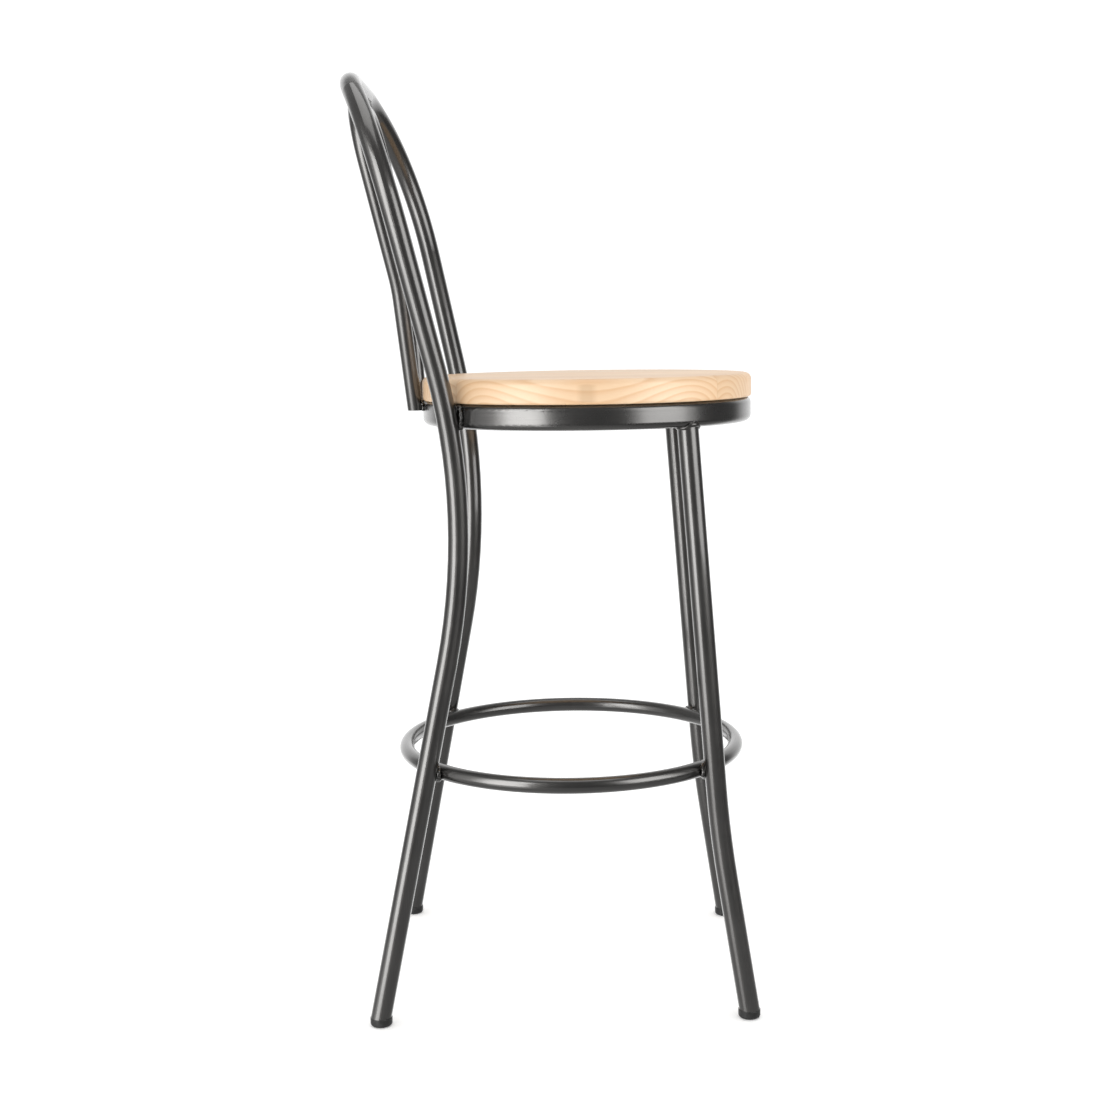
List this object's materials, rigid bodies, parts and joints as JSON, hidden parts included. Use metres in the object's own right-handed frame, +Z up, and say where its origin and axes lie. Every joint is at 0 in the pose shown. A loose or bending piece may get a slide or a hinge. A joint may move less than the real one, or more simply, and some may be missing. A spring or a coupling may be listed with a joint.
{
  "type": "bar stool",
  "caption": "Tall bar stool with a round wood seat, a bent steel tube frame, an open arched back with an inner hoop, and a ring footrest.",
  "frame": {"origin": "on the floor, under the middle of the stool's overall bounding box", "axes": "+Z up, the stool faces -Y with its back towards +Y, +X is the sitter's left"},
  "size_m": [0.4405, 0.4946, 1.1337],
  "materials": {
    "frame_steel": "gloss gunmetal lacquer",
    "weld_steel": "lacquered weld bead",
    "seat_wood": "clear satin lacquer on pale wood",
    "cap_plastic": "black moulded",
    "screw_steel": "zinc plated"
  },
  "bodies": {
    "root": {"outer_frame": "frame_steel", "inner_hoop": "frame_steel", "seat_ring": "frame_steel", "footrest_ring": "frame_steel", "front_leg_left": "frame_steel", "front_leg_right": "frame_steel", "wood_seat": "seat_wood", "foot_cap_rear_left": "cap_plastic", "seat_tab_rear_left": "frame_steel", "seat_screw_rear_left": "screw_steel", "weld_ring_rear_left": "weld_steel", "weld_rest_rear_left": "weld_steel", "foot_cap_rear_right": "cap_plastic", "seat_tab_rear_right": "frame_steel", "seat_screw_rear_right": "screw_steel", "weld_ring_rear_right": "weld_steel", "weld_rest_rear_right": "weld_steel", "foot_cap_front_left": "cap_plastic", "seat_tab_front_left": "frame_steel", "seat_screw_front_left": "screw_steel", "weld_ring_front_left": "weld_steel", "weld_rest_front_left": "weld_steel", "foot_cap_front_right": "cap_plastic", "seat_tab_front_right": "frame_steel", "seat_screw_front_right": "screw_steel", "weld_ring_front_right": "weld_steel", "weld_rest_front_right": "weld_steel", "weld_hoop_left": "weld_steel", "weld_hoop_right": "weld_steel", "weld_crown": "weld_steel"}
  },
  "joints": []
}
